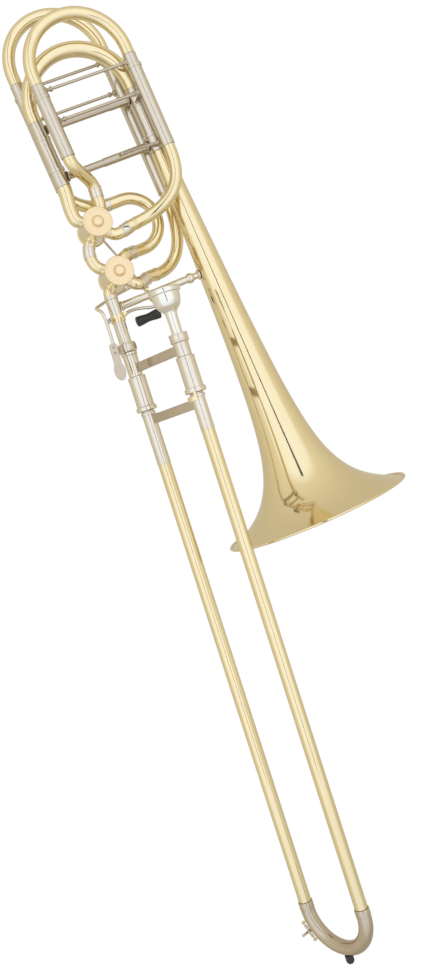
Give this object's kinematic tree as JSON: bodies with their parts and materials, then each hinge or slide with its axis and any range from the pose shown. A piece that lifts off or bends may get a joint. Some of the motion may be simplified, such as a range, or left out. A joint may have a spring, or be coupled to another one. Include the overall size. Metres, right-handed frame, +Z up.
{
  "type": "bass trombone",
  "caption": "Bass trombone with bell, two rotary valves on sprung levers, tuning slides, mouthpiece and a hand slide with water key, in gold brass and nickel silver.",
  "frame": {"origin": "middle of the inner slide brace, where the left hand holds the instrument", "axes": "+Z up along the bell's axis, away from its mouth; the bell section lies along X-Z with the bell towards +X; the player's front view is from -Y"},
  "size_m": [0.3595, 0.2413, 1.2278],
  "materials": {
    "lacquered_brass": "clear gold lacquer, polished",
    "nickel_silver": "polished nickel silver, lacquered",
    "silver_plate": "silver plate, mirror bright",
    "satin_brass": "satin, pale rose gold",
    "black_rubber": "matt",
    "cork": "matt",
    "spring_steel": "drawn wire"
  },
  "bodies": {
    "bell_section": {"bell": "lacquered_brass", "bell_brace": "nickel_silver", "body_brace": "nickel_silver", "main_receiver_bell_leg": "nickel_silver", "main_receiver_neck_leg": "nickel_silver", "first_receiver_legs": "nickel_silver", "second_receiver_legs": "nickel_silver", "first_loop_rod": "nickel_silver", "first_loop_upper_tube": "lacquered_brass", "first_loop_lower_tube": "lacquered_brass", "second_loop_upper_tube": "lacquered_brass", "second_loop_lower_tube": "lacquered_brass", "main_to_valve1_tube": "lacquered_brass", "valve1_to_valve2_tube": "lacquered_brass", "valve2_to_neck_tube": "lacquered_brass", "valve1_casing": "lacquered_brass", "valve1_front_cap": "satin_brass", "valve1_back_plate": "lacquered_brass", "valve2_casing": "lacquered_brass", "valve2_front_cap": "satin_brass", "valve2_back_plate": "lacquered_brass", "neckpipe": "nickel_silver", "lever_saddle": "lacquered_brass", "inner_slide_brace": "nickel_silver", "inner_slide_left_tube": "nickel_silver", "inner_slide_right_tube": "nickel_silver", "cork_barrel_left": "nickel_silver", "cork_barrel_right": "nickel_silver"},
    "hand_slide": {"outer_slide_handle": "nickel_silver", "outer_slide_left_tube": "lacquered_brass", "outer_slide_right_tube": "lacquered_brass", "end_bow": "nickel_silver", "bumper": "black_rubber", "water_key_saddle": "lacquered_brass", "water_key_nipple": "lacquered_brass", "water_key_upper_spring": "spring_steel", "water_key_lower_spring": "spring_steel"},
    "water_key": {"water_key_lever": "nickel_silver", "water_key_cork": "cork"},
    "main_slide": {"main_slide_crook": "lacquered_brass", "main_slide_neck_leg": "nickel_silver", "main_slide_bell_leg": "nickel_silver", "main_slide_brace": "nickel_silver"},
    "first_slide": {"first_slide_crook": "lacquered_brass", "first_slide_legs": "nickel_silver"},
    "second_slide": {"second_slide_crook": "lacquered_brass", "second_slide_legs": "nickel_silver"},
    "valve1": {"valve1_rotor": "lacquered_brass", "valve1_stop_arm": "nickel_silver"},
    "valve2": {"valve2_rotor": "lacquered_brass", "valve2_stop_arm": "nickel_silver"},
    "link1": {"valve1_link": "nickel_silver"},
    "link2": {"valve2_link": "nickel_silver"},
    "finger_key": {"finger_lever": "nickel_silver"},
    "roller": {"finger_roller": "black_rubber"},
    "thumb_key": {"thumb_lever": "nickel_silver", "thumb_paddle": "nickel_silver"},
    "lock_ring": {"slide_lock": "lacquered_brass"},
    "lock_nut": {"bell_lock_nut": "nickel_silver"},
    "mouthpiece_body": {"mouthpiece": "silver_plate"}
  },
  "joints": [
    {"name": "hand_slide_travel", "type": "slide", "parent": "bell_section", "child": "hand_slide", "axis": [-0.1088, 0, -0.9941], "range_m": [0, 0.6]},
    {"name": "water_key_hinge", "type": "hinge", "parent": "hand_slide", "child": "water_key", "pos_m": [-0.10775, 0.04991, -0.73137], "axis": [-0.1418, 0.4311, 0.8911], "range_deg": [0, 12], "stiffness_Nm_per_rad": 0.02, "springref_deg": -20.05},
    {"name": "main_slide_pull", "type": "slide", "parent": "bell_section", "child": "main_slide", "axis": [0, 0, 1], "range_m": [0, 0.045]},
    {"name": "first_slide_pull", "type": "slide", "parent": "bell_section", "child": "first_slide", "axis": [0, 0, 1], "range_m": [0, 0.06]},
    {"name": "second_slide_pull", "type": "slide", "parent": "bell_section", "child": "second_slide", "axis": [0, 0, 1], "range_m": [0, 0.1]},
    {"name": "valve1_turn", "type": "hinge", "parent": "bell_section", "child": "valve1", "pos_m": [0.00462, 0.07389, 0.18015], "axis": [0, 1, 0], "range_deg": [0, 90], "stiffness_Nm_per_rad": 0.006, "springref_deg": -90},
    {"name": "link1_pin", "type": "hinge", "parent": "valve1", "child": "link1", "pos_m": [0.00966, 0.07389, 0.18992], "axis": [0, 1, 0], "range_deg": [-90, 0]},
    {"name": "finger_key_hinge", "type": "hinge", "parent": "bell_section", "child": "finger_key", "pos_m": [-0.00418, 0.05389, 0.06935], "axis": [0, 1, 0], "range_deg": [0, 17.28]},
    {"name": "valve2_turn", "type": "hinge", "parent": "bell_section", "child": "valve2", "pos_m": [0.00462, 0.07389, 0.11635], "axis": [0, -1, 0], "range_deg": [0, 90], "stiffness_Nm_per_rad": 0.006, "springref_deg": -90},
    {"name": "link2_pin", "type": "hinge", "parent": "valve2", "child": "link2", "pos_m": [0.01553, 0.07389, 0.1149], "axis": [0, -1, 0], "range_deg": [-90, 0]},
    {"name": "thumb_key_hinge", "type": "hinge", "parent": "bell_section", "child": "thumb_key", "pos_m": [-0.02798, 0.03189, 0.06735], "axis": [0, -1, 0], "range_deg": [0, 13.43]},
    {"name": "roller_spin", "type": "hinge", "parent": "finger_key", "child": "roller", "pos_m": [0.02622, 0.06289, 0.05635], "axis": [1, 0, 0], "continuous": true},
    {"name": "lock_ring_turn", "type": "hinge", "parent": "bell_section", "child": "lock_ring", "pos_m": [0.01759, -0.04089, -0.04669], "axis": [0.1088, 0, 0.9941], "range_deg": [-40, 0]},
    {"name": "lock_nut_turn", "type": "hinge", "parent": "bell_section", "child": "lock_nut", "pos_m": [-0.01944, 0.04089, 0.02979], "axis": [0.1088, 0, 0.9941], "continuous": true},
    {"name": "mouthpiece_pull", "type": "slide", "parent": "bell_section", "child": "mouthpiece_body", "axis": [0.1088, 0, 0.9941], "range_m": [0, 0.03]}
  ],
  "couplings": [
    {"joint": "link1_pin", "follows": "valve1_turn", "ratio": -1},
    {"joint": "finger_key_hinge", "follows": "valve1_turn", "ratio": 0.19196},
    {"joint": "link2_pin", "follows": "valve2_turn", "ratio": -1},
    {"joint": "thumb_key_hinge", "follows": "valve2_turn", "ratio": 0.14917}
  ]
}
